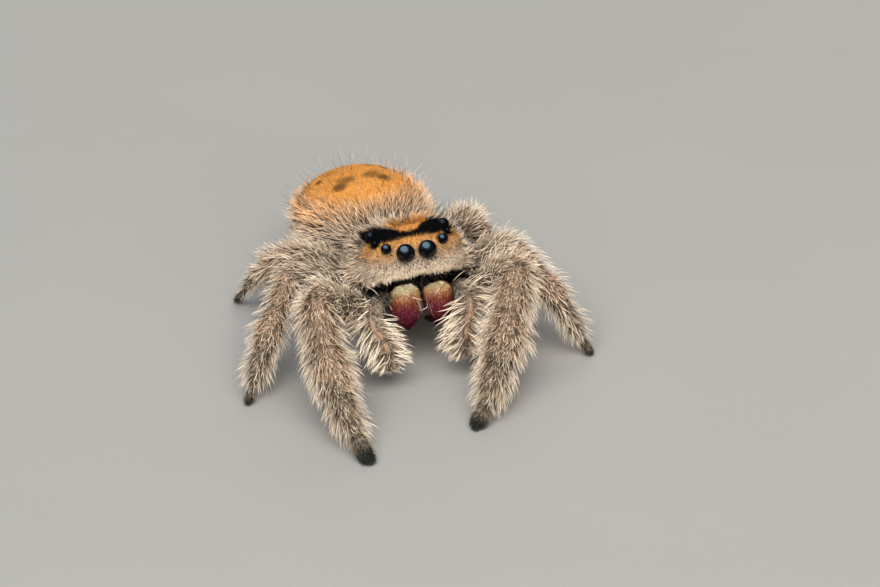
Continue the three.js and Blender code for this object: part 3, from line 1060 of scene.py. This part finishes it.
def jaw_material(name, hairy):
    """Jaw shell, or the fine hair on it: coloured by how far down the jaw it is."""
    material, nodes = new_material(name)
    drop = nodes.attribute("marks")[0]
    colour = nodes.group(jaw_colour, {"Drop": drop})["Colour"]
    if hairy:
        tone, rise, _, _ = nodes.attribute("hair")
        inputs = {"Colour": colour, "Tone": tone, "Rise": rise, "Contrast": JAW_HAIR_CONTRAST}
        colour = nodes.group(hair_shade, inputs)["Colour"]
    else:
        colour = nodes.scaled(colour, 0.3)
    nodes.shade(colour=colour, metallic=0.15, roughness=0.4)
    return material


# ---- the skin, eyes and jaws ----

MODEL = {}


class SPIDER_OT_skin(bpy.types.Operator):
    """Build the one skin that replaces every solid of flesh"""

    bl_idname = "spider.skin"
    bl_label = "Skin"

    def execute(self, context):
        skin = build_skin()
        MODEL["skin"] = skin
        mesh = new_mesh("skin", skin.verts, skin.tris)
        masks = markings(skin.verts, skin.family)
        masks[:, BLACK] = np.maximum(masks[:, BLACK], masks[:, SLATE] * 0.9)
        write_colour(mesh, "marks", masks[:, :SLATE])
        add_piece("skin", mesh, skin_material(), FLESH)
        return {"FINISHED"}


def lathe(profile, sides):
    """A closed turned shape about +Z from (radius, height) pairs that start and end on the axis."""
    rings = profile[1:-1]
    turn = np.linspace(0, 2 * math.pi, sides, endpoint=False)
    verts = [(0, 0, profile[0][1])]
    for radius, height in rings:
        verts += [(radius * math.cos(a), radius * math.sin(a), height) for a in turn]
    verts.append((0, 0, profile[-1][1]))
    tris = []
    for j in range(sides):
        k = (j + 1) % sides
        tris.append((0, 1 + k, 1 + j))
        for r in range(len(rings) - 1):
            a, b = 1 + r * sides + j, 1 + r * sides + k
            tris += [(a, b, b + sides), (a, b + sides, a + sides)]
        base = 1 + (len(rings) - 1) * sides
        tris.append((base + j, base + k, len(verts) - 1))
    return np.array(verts, float), np.array(tris)


def eye_profile(radius):
    """A rounded eyeball behind, and a slightly fuller clear lens in front."""
    angles = np.radians(np.arange(-84, 85, 6))
    bulge = 0.97 + 0.03 * ramp(np.sin(angles), -0.2, 0.3)
    ring = [(radius * b * math.cos(a), radius * b * math.sin(a)) for a, b in zip(angles, bulge)]
    return [(0.0, -radius * 0.97)] + ring + [(0.0, radius)]


LENS_SCALE = 1.05  # the lens closes the thin cut round each eye
LENS_SIDES = 48
# Which way each kind of left eye looks in the head's own frame, and how much it shines.
EYE_LOOKS = {
    "eye_front_middle": ((0.0, -1.0, 0.05), 0.75),
    "eye_front_side": ((0.35, -1.0, 0.2), 0.6),
    "eye_rear_small": ((0.9, -0.35, 0.5), 0.1),
    "eye_rear_side": ((0.9, 0.1, 0.55), 0.17),
}


class SPIDER_OT_eyes(bpy.types.Operator):
    """Build the eight eyes as black lenses"""

    bl_idname = "spider.eyes"
    bl_label = "Eyes"

    def execute(self, context):
        black = context.scene.spider_colours.eye
        for kind, (aim, shine) in EYE_LOOKS.items():
            material = plain_material(f"{kind}_glass", black, 0.26, 700.0, 1.0, shine)
            for side, sign in SIDES.items():
                node = f"{kind}_{side}"
                verts, tris = lathe(eye_profile(node_reach(node).max() * LENS_SCALE), LENS_SIDES)
                toward = np.array(aim) * (sign, 1, 1) @ HEAD_TURN.T
                turn = Vector(toward).to_track_quat("Z", "Y").to_matrix()
                verts = verts @ np.array(turn).T + node_middle(node)
                add_piece(node + "_lens", new_mesh(node + "_lens", verts, tris), material, [node])
        return {"FINISHED"}


JAW_TOP, JAW_LENGTH = 1.5, 2.2  # from the height of the front eyes down, in the head's own frame
JAW_MIDDLE = 0.83  # how far the middle of each jaw is from the middle of the head
JAW_SETTLE = {"left": 0.2, "right": 0.04}  # how far the top of each jaw hangs below its solid
JAW_VOXEL = 0.045
JAW_INSET = 0.05
HORN_VOXEL = 0.03
HORN_COLOUR = (0.03, 0.012, 0.008)


def jaw_drop(places):
    """How far down a jaw each place is, from 0 at its top to 1."""
    return np.clip((-head_place(places)[:, 2] - JAW_TOP) / JAW_LENGTH, 0, 1)


class SPIDER_OT_jaws(bpy.types.Operator):
    """Build the two jaws, the fine shining hair on them, and the fangs and mouth lobes behind them"""

    bl_idname = "spider.jaws"
    bl_label = "Jaws"

    def execute(self, context):
        shell, hair = jaw_material("jaw_shell", False), jaw_material("jaw_hair", True)
        horn = plain_material("horn", HORN_COLOUR, 0.22, 2000.0, 0.8)
        for side, sign in SIDES.items():
            verts, tris = smoothed_node(f"chelicera_{side}", JAW_VOXEL, JAW_INSET)
            settle = JAW_SETTLE[side] * ramp(head_place(verts)[:, 2], -2.4, -1.5)
            verts = verts - np.outer(settle, [0, 0, 1]) @ HEAD_TURN.T
            jaw = Surface(verts, tris, np.full(len(verts), "chelicera"))
            mesh = new_mesh(f"jaw_{side}", verts, tris)
            marks = np.zeros((len(verts), SLATE))
            marks[:, ORANGE] = jaw_drop(verts)
            write_colour(mesh, "marks", marks)
            add_piece(f"jaw_{side}", mesh, shell, [f"chelicera_{side}"])
            self.hair(jaw, side, sign, hair)
            for node in (f"fang_{side}", f"maxilla_{side}"):
                mesh = new_mesh(f"{node}_horn", *smoothed_node(node, HORN_VOXEL, 0.0))
                add_piece(f"{node}_horn", mesh, horn, [node])
        return {"FINISHED"}

    def hair(self, jaw, side, sign, material):
        """Short hair in the jaw's own colours, and a few long pale ones along its inner edge."""
        x, y, z = head_place(jaw.verts).T
        unwrap = ball_unwrap(jaw.verts.mean(axis=0))

        def down(roots):
            way = np.stack([0.25 * (head_place(roots.places)[:, 0] - sign * JAW_MIDDLE)] * 3, axis=1)
            way[:, 1:] = (-0.1, -1)
            return way @ HEAD_TURN.T

        def colour(roots):
            speck = roots.rng.random(roots.count) < 0.1
            roots.masks[:, ORANGE] = jaw_drop(roots.places) * (1 - 0.6 * speck)

        front = ramp(1.6 - y, 0, 0.5)
        top = ramp(z, -2.35, -1.95) * ramp(0.6 - y, 0, 0.3)
        layers = [("jaw", front, down, 70 + sign, None, colour)]
        layers.append(("mane", top, down, 74 + sign, None, colour))
        grow_coat(f"coat_jaw_{side}", jaw, unwrap, layers, material)
        margin = ramp(JAW_MIDDLE - sign * x, 0.45, 0.62) * ramp(z, -2.7, -2.2) * ramp(0.9 - y, 0, 0.3)
        inner = one_way(np.array([0.05 * sign, -0.25, -1]) @ HEAD_TURN.T)
        layers = [("whisker", margin, inner, 80 + sign, None, painted({PALE: 1}, 0.8, 0.0))]
        grow_coat(f"coat_whiskers_{side}", jaw, unwrap, layers)


# ---- the coat of the body ----


class SPIDER_OT_abdomen_coat(bpy.types.Operator):
    """Grow the fur of the abdomen: short and orange on the back, longer and grey elsewhere"""

    bl_idname = "spider.abdomen_coat"
    bl_label = "Abdomen coat"

    def execute(self, context):
        skin = MODEL["skin"]
        body = skin.share(lambda n: n in ("abdomen", "spinnerets"))
        _, v, w = abdomen_place(skin.verts).T
        orange = abdomen_marks(skin.verts)[0]
        flow = one_way(np.array([0, 1, -0.15]) @ ABDOMEN_TURN.T)
        unwrap = ball_unwrap(node_middle("abdomen"))

        def fade(roots):
            return 1.0 - 0.25 * roots.masks[:, ORANGE]

        def sides(roots):
            u, v, w = abdomen_place(roots.places).T
            roots.tone += 0.1 + 0.4 * ramp(np.abs(u), 0.45, 0.85)
            near = 0.65 * ramp(1.36 - back_reach(u, v), 0, 0.4) * ramp(w, 0.1, 0.4)
            roots.masks[:, ORANGE] = np.maximum(roots.masks[:, ORANGE], near)

        front = ramp(-v, -0.2, 0.25) * ramp(w, -0.5, 0.1)
        long = np.maximum(front, ramp(w, 0.1, 0.4))
        above = body * ramp(w, 0.1, 0.5) * (1 - 0.6 * orange)
        layers = [("velvet", body * ramp(orange, 0.15, 0.6), flow, 1)]
        grow_coat("coat_abdomen_back", skin, unwrap, layers)
        layers = [("shaggy", body * (1 - orange) * long, flow, 2, fade, sides)]
        layers.append(("wisp", above, flow, 3, None, painted({ORANGE: 0})))
        grow_coat("coat_abdomen_front", skin, unwrap, layers)
        layers = [("flank", body * (1 - orange) * (1 - long), flow, 4, None, sides)]
        grow_coat("coat_abdomen_flanks", skin, unwrap, layers)
        return {"FINISHED"}


def head_flow(roots):
    """Up and back over the crown, down to the fringe below the eyes, and out over the cheeks."""
    x, y, z = head_place(roots.places).T
    up = ramp(z, -0.35, 0.35)
    back = ramp(y, 0.5, 1.4)
    side = ramp(np.abs(x), 1.5, 2.5)
    way = np.stack([np.sign(x) * (0.15 + 0.2 * np.abs(x)), 0.2 + back + 0.7 * side, 1.6 * up - 1], axis=1)
    way[:, 2] = np.where(y > 1.4, -0.2 - 0.5 * side, way[:, 2] * (1 - 0.5 * side))
    way = unit(way @ HEAD_TURN.T)
    for eye in EYES:
        out = unit(roots.places - node_middle(eye))
        way = way + 1.5 * out * ramp(0.25 - eye_gap(roots.places, eye), 0, 0.2)[:, None]
    return way


def face_size(roots):
    """Longer hairs low on the face, at its sides and in the black band."""
    x, _, z = head_place(roots.places).T
    black = roots.masks[:, BLACK]
    bigger = 1 + 0.6 * ramp(-z, 0.1, 0.8) + 0.9 * ramp(np.abs(x), 2.2, 2.8) * (1 - black)
    return bigger * (1 + 0.45 * black * ramp(z, -0.5, 0))


def face_edit(roots):
    """Stands hairs up round the eyes, lightens the lower face (pale fur, lifted further as painted light),
    and flecks the orange with pale hairs.
    """
    _, y, z = head_place(roots.places).T
    low = ramp(-z, 0.0, 0.7)
    front = ramp(1.2 - y, 0, 0.4)
    orange = roots.masks[:, ORANGE]
    roots.stand += 0.5 * ramp(0.2 - nearest_eye(roots.places), 0, 0.15) + 0.5 * roots.masks[:, BLACK]
    # The lower face's fur is pale, and is lightened beyond that as painted light on the downward-facing face.
    roots.tone[:] = roots.tone * (1 - 0.4 * low) + 0.72 * low
    roots.dark *= (1 - 0.9 * low) * (1 + orange * (1.5 * front - 0.6))
    roots.tone += orange * (0.35 * (1 - front) - 0.55 * roots.tone * front)
    fleck = roots.rng.random(roots.count) < 0.3 * ramp(0.35 - z, 0, 0.6)
    orange *= 1 - 0.8 * fleck
    ring = ramp(0.16 - nearest_eye(roots.places, eyes_of("eye_front_middle")), 0, 0.1)
    orange *= 1 - 0.6 * ring
    roots.tone += 0.15 * ring


def crown_size(roots):
    """Shorter hairs in the black band."""
    return 1 - 0.5 * roots.masks[:, BLACK]


class SPIDER_OT_head_coat(bpy.types.Operator):
    """Grow the fur of the head: very short round the eyes, with a pale fringe over the jaws"""

    bl_idname = "spider.head_coat"
    bl_label = "Head coat"

    def execute(self, context):
        skin = MODEL["skin"]
        head = skin.share(lambda n: n == "cephalothorax") * ramp(nearest_eye(skin.verts), 0.0, 0.05)
        x, y, z = head_place(skin.verts).T
        wide = np.abs(x)
        edge = z - mouth_edge(x)
        above = np.maximum(ramp(edge, -0.03, 0.03), ramp(y, 1.3, 1.7))
        front = ramp(2.1 - y, 0, 0.5) * ramp(2.75 - wide, 0, 0.3)
        cheek = ramp(wide, 2.3, 2.7) * ramp(2.9 - y, 0, 0.6) * above
        under = (1 - above) * ramp(y, -0.1, 0.2) * ramp(2.6 - wide, 0, 0.3)
        lip = head * ramp(0.42 - edge, 0, 0.2) * ramp(edge, -0.03, 0.03) * ramp(1.5 - y, 0, 0.4)
        behind = np.maximum(ramp(y - 1.7, 0, 0.5), 0.8 * ramp(-z, 0.5, 1.0) * ramp(wide, 2.5, 2.9))
        # The cheeks' fur is pale, and its tone is raised further as painted light.
        bright = painted({BLACK: 0}, 0.58, 0.75)
        # Painted shade: the long hairs under the face's lower edge are coloured near black, as the shade
        # under the face.
        black = painted({ORANGE: 0, BLACK: 0.94, PALE: 0, TAN: 0, SLATE: 0})
        # The fringe is cream-white, and its tone is raised above that as painted light on the downward-facing
        # hair.
        pale = painted({ORANGE: 0, BLACK: 0, PALE: 1}, 1.15, 0.6)
        pieces = {
            "coat_face": [("face", head * front * above, head_flow, 10, face_size, face_edit)],
            "coat_cheeks": [
                ("cheek", head * cheek, head_flow, 13, None, bright),
                ("under", head * under, fanned(0.5, -0.35, -1), 14, None, black),
            ],
            "coat_fringe": [("fringe", lip, fanned(0.22, -0.3, -1), 11, None, pale)],
            "coat_carapace": [("crown", head * behind * above, head_flow, 12, crown_size)],
        }
        for name, layers in pieces.items():
            grow_coat(name, skin, ball_unwrap(node_middle("cephalothorax")), layers)
        return {"FINISHED"}


class SPIDER_OT_bristles(bpy.types.Operator):
    """Grow the long dark bristles beside the rear eyes and on the crown"""

    bl_idname = "spider.bristles"
    bl_label = "Bristles"

    def execute(self, context):
        skin = MODEL["skin"]
        head = skin.share(lambda n: n == "cephalothorax")
        _, y, _ = head_place(skin.verts).T
        near = nearest_eye(skin.verts, eyes_of("eye_rear_side"))
        beside = ramp(0.5 - near, 0, 0.2) * ramp(near, 0, 0.05)
        crown = 0.25 * ramp(y, 1.0, 1.3) * ramp(3.2 - y, 0, 0.5)

        def dark(roots):
            roots.dark = 1 - roots.masks[:, BLACK]
            roots.clump[:] = 0

        layers = [("bristle", head * np.maximum(beside, crown), fanned(0.5, -0.2, 0.5), 90, None, dark)]
        grow_coat("coat_bristles", skin, ball_unwrap(node_middle("cephalothorax")), layers)
        return {"FINISHED"}


# ---- the coat of the legs and feelers ----


def limb_skin(limb):
    """For the skin's vertices: 1 on a limb and 0 elsewhere, the distance along it, and its direction."""
    skin = MODEL["skin"]
    whole = skin.share(lambda n: n.startswith(limb.name))
    mine = whole > 0
    along, tangent = np.zeros(len(whole)), np.zeros((len(whole), 3))
    along[mine], tangent[mine], _ = limb.read(skin.verts[mine])
    return whole, along, tangent


class SPIDER_OT_leg_coats(bpy.types.Operator):
    """Grow the fur of the eight legs, with long fringes below and behind"""

    bl_idname = "spider.leg_coats"
    bl_label = "Leg coats"

    def execute(self, context):
        for number, scale in LEG_HAIR_SIZES.items():
            for side in SIDES:
                self.leg(LIMBS[f"leg_{number}_{side}"], scale, 10 * (20 + 2 * number + (side == "left")))
        return {"FINISHED"}

    def leg(self, limb, scale, seed):
        skin = MODEL["skin"]
        whole, along, tangent = limb_skin(limb)
        ankle, end = limb.joints[-1], limb.along[-1]
        foot = ramp(along, ankle - 0.1, ankle + 0.25 * (end - ankle))
        thin = 1 - 0.5 * ramp(0.12 - limb.joint_gap(along), 0, 0.08)
        level = unit(np.cross(tangent, UP))
        lateral = ramp(np.abs((skin.normals * level).sum(axis=1)), 0.3, 0.75)
        under = np.maximum(lateral, ramp(-skin.normals[:, 2], 0.2, 0.8))
        top = (1 - lateral) * ramp(skin.normals[:, 2], -0.3, 0.2)
        reach = ramp(along, 0.8, 1.8) * ramp(ankle + 0.15 * (end - ankle) - along, 0, 0.5)

        def flow(roots):
            return limb.read(roots.places)[1]

        def size(roots):
            return scale * (1 - 0.45 * ramp(limb.read(roots.places)[0], ankle - 0.9, ankle - 0.1))

        def foot_size(roots):
            return scale

        def dull(roots):
            roots.tone -= 0.15 - 1.3 * roots.masks[:, TAN]

        pale = painted({BLACK: 0, PALE: 0.8, TAN: 0}, 0.2, 0.6)
        layers = [
            ("leg", whole * (1 - foot) * thin * (1 - 0.45 * top), flow, seed, size, dull),
            ("ridge", whole * (1 - foot) * top, flow, seed + 4, None, dull),
            ("foot", whole * foot, flow, seed + 1, foot_size),
            ("leg_fringe", whole * reach * (0.08 + 0.92 * under), flow, seed + 2, size, pale),
            ("leg_wisp", whole * reach, flow, seed + 3, size, pale),
        ]
        grow_coat(f"coat_{limb.name}", skin, limb_unwrap(limb), layers)


class SPIDER_OT_palp_coats(bpy.types.Operator):
    """Grow the fur of the two feelers, with long pale fringes at the sides"""

    bl_idname = "spider.palp_coats"
    bl_label = "Feeler coats"

    def execute(self, context):
        for side, sign in SIDES.items():
            self.palp(LIMBS[f"palp_{side}"], sign)
        return {"FINISHED"}

    def palp(self, limb, sign):
        skin = MODEL["skin"]
        whole, along, _ = limb_skin(limb)
        end = limb.along[-1]
        start = limb.joints[0] - 0.2 - 0.7 * ramp(sign * skin.normals[:, 0], 0, 0.3)
        side = ramp(np.abs(skin.normals[:, 0]), 0.1, 0.4) * ramp(along - start, 0, 0.5)
        side *= ramp(end - 0.1 - along, 0, 0.4)

        def flow(roots):
            _, tangent, out = limb.read(roots.places)
            across = np.sign(out[:, 0] + 0.15 * roots.rng.normal(0, 1, roots.count))
            return tangent * 0.9 + across[:, None] * (1, 0, 0)

        def size(roots):
            return 0.45 + 0.55 * ramp(end - limb.read(roots.places)[0], 0.4, 1.3)

        def pale(roots):
            roots.masks[:, TAN] *= 0.2
            painted({BLACK: 0, PALE: 0.9}, 0.35, 0.6)(roots)

        def brush(roots):
            tip = 1 - ramp(end - limb.read(roots.places)[0], 0.15, 0.6)
            roots.stand *= 1 + 0.5 * tip
            roots.masks[:, PALE] += (0.9 - roots.masks[:, PALE]) * tip
            roots.dark *= 1 - 0.8 * tip
            # Painted shade: darker short hair at the feeler's sides, as the shade between the long side
            # hairs.
            roots.tone *= 1 - 0.7 * ramp(np.abs(roots.normals[:, 0]), 0.35, 0.75) * (1 - tip)
            roots.tone += 0.35 * tip

        seed = 600 + 10 * sign
        layers = [
            ("palp", whole, flow, seed, None, brush),
            ("palp_fringe", whole * (0.08 + 0.92 * side), flow, seed + 1, size, pale),
        ]
        grow_coat(f"coat_{limb.name}", skin, limb_unwrap(limb), layers)


# ---- the stage ----

# Lamps: place, size, power, colour, and whether the lamp is the one that shines in the eyes.
LAMPS = {
    "key": ((-0.05, -0.15, 0.235), (0.3, 0.2), 1.06, (1.0, 0.97, 0.93), False),
    "fill": ((-0.02, -0.26, 0.07), (0.3, 0.1), 0.45, (1.0, 0.97, 0.93), False),
    "rim": ((0.1, 0.2, 0.14), (0.16, 0.16), 0.3, (1.0, 0.95, 0.88), False),
    "glint": ((-0.06, -0.02, 0.3), (0.6, 0.42), 2.9, (0.45, 0.78, 1.0), True),
}
# The bright patch of the soft sky: its middle, its reach level and upright, and the sky's colours.
SKY_MIDDLE = (-0.11, -0.45, 0.886)
SKY_REACH = (0.85, 0.5)
SKY_BRIGHT = (0.96, 0.98, 1.0)
SKY_DIM = (0.05, 0.05, 0.05)
SKY_POWER = 2.4
FLOOR_HALF = 400.0
FLOOR_COLOUR = (0.25, 0.235, 0.215)
# Where the camera looks: a place on the face from between its eyes, then the shift to the right and down.
LOOK_AT = (0, -0.18, 0.06)
LOOK_RIGHT, LOOK_DOWN = 1.09, 2.01


class SPIDER_OT_stage(bpy.types.Operator):
    """Build the floor, the soft lights and the camera"""

    bl_idname = "spider.stage"
    bl_label = "Stage"

    def execute(self, context):
        verts = np.array([[-1, -1, 0], [1, -1, 0], [1, 1, 0], [-1, 1, 0]]) * FLOOR_HALF
        floor = bpy.data.objects.new("floor", new_mesh("floor", verts, np.array([[0, 1, 2], [0, 2, 3]])))
        floor.data.materials.append(plain_material("floor", FLOOR_COLOUR, 0.8, 60.0, 0.08))
        floor.visible_glossy = False
        context.scene.collection.objects.link(floor)
        self.camera(context, context.scene.spider_stage)
        self.lights(context, context.scene.spider_stage)
        self.sky(context, context.scene.spider_stage)
        context.scene.view_settings.view_transform = "Standard"
        return {"FINISHED"}

    def camera(self, context, stage):
        a, e = stage.azimuth, stage.elevation
        back = Vector((math.sin(a) * math.cos(e), -math.cos(a) * math.cos(e), math.sin(e)))
        level = Vector((math.cos(a), math.sin(a), 0))
        lean = Matrix.Rotation(-stage.roll, 3, back)
        right, up = lean @ level, lean @ back.cross(level)
        target = Vector(EYES_MIDDLE + LOOK_AT) * MM + (right * LOOK_RIGHT - up * LOOK_DOWN) * MM
        camera = bpy.data.objects.new("camera", bpy.data.cameras.new("camera"))
        camera.data.lens = stage.lens
        camera.data.sensor_width = 36
        camera.data.clip_start, camera.data.clip_end = 0.005, 10
        turn = Matrix((right, up, back)).transposed().to_4x4()
        camera.matrix_world = Matrix.Translation(target + back * stage.distance) @ turn
        context.scene.collection.objects.link(camera)
        context.scene.camera = camera

    def lights(self, context, stage):
        for name, (place, size, power, colour, glint) in LAMPS.items():
            light = bpy.data.lights.new(name, "AREA")
            light.shape = "ELLIPSE" if glint else "RECTANGLE"
            light.size, light.size_y = size
            light.energy = power * stage.light
            light.color = colour
            lamp = bpy.data.objects.new(name, light)
            lamp.location = place
            lamp.rotation_mode = "QUATERNION"
            lamp.rotation_quaternion = (-Vector(place)).to_track_quat("-Z", "Y")
            lamp.visible_glossy = glint
            lamp.visible_diffuse = not glint
            context.scene.collection.objects.link(lamp)

    def sky(self, context, stage):
        """A soft light from above that fades towards the horizon."""
        world = bpy.data.worlds.new("studio")
        world.use_nodes = True
        nodes = Nodes(world.node_tree)
        place = nodes.add("ShaderNodeTexCoord")["Generated"]
        high = Vector(SKY_MIDDLE)
        level = Vector((math.cos(stage.azimuth), math.sin(stage.azimuth), 0))

        def along(axis):
            return nodes.add("ShaderNodeVectorMath", {0: place, 1: axis}, operation="DOT_PRODUCT")["Value"]

        spread = [along(axis / reach) for axis, reach in zip((level, high.cross(level)), SKY_REACH)]
        spread = nodes.math("ADD", *[nodes.math("MULTIPLY", dot, dot) for dot in spread])
        bright = nodes.ramp(spread, ((0.25, SKY_BRIGHT), (1.0, SKY_DIM)), "EASE")
        above = nodes.math("GREATER_THAN", along(high), 0.0)
        background = world.node_tree.nodes["Background"].inputs
        nodes.put(background["Color"], nodes.mix(above, rgba(SKY_DIM), bright))
        background["Strength"].default_value = SKY_POWER * stage.light
        world.cycles_visibility.glossy = False
        context.scene.world = world


# ---- running ----


class SPIDER_PT_panel(bpy.types.Panel):
    """Lists the steps that build the spider"""

    bl_label = "Jumping spider"
    bl_idname = "SPIDER_PT_panel"
    bl_space_type = "VIEW_3D"
    bl_region_type = "UI"
    bl_category = "Spider"

    def draw(self, context):
        for step in STEPS:
            self.layout.operator(step.bl_idname)


STEPS = (
    SPIDER_OT_stage,
    SPIDER_OT_skin,
    SPIDER_OT_eyes,
    SPIDER_OT_jaws,
    SPIDER_OT_abdomen_coat,
    SPIDER_OT_head_coat,
    SPIDER_OT_leg_coats,
    SPIDER_OT_palp_coats,
    SPIDER_OT_bristles,
)
SETTINGS = {"spider_coat": SpiderCoat, "spider_colours": SpiderColours, "spider_stage": SpiderStage}
CLASSES = (*SETTINGS.values(), *STEPS, SPIDER_PT_panel)


def register():
    for item in CLASSES:
        bpy.utils.register_class(item)
    for name, group in SETTINGS.items():
        setattr(bpy.types.Scene, name, PointerProperty(type=group))


def unregister():
    for name in SETTINGS:
        delattr(bpy.types.Scene, name)
    for item in reversed(CLASSES):
        bpy.utils.unregister_class(item)


def main():
    register()
    for step in STEPS:
        family, name = step.bl_idname.split(".")
        getattr(getattr(bpy.ops, family), name)()


if __name__ == "__main__":
    main()
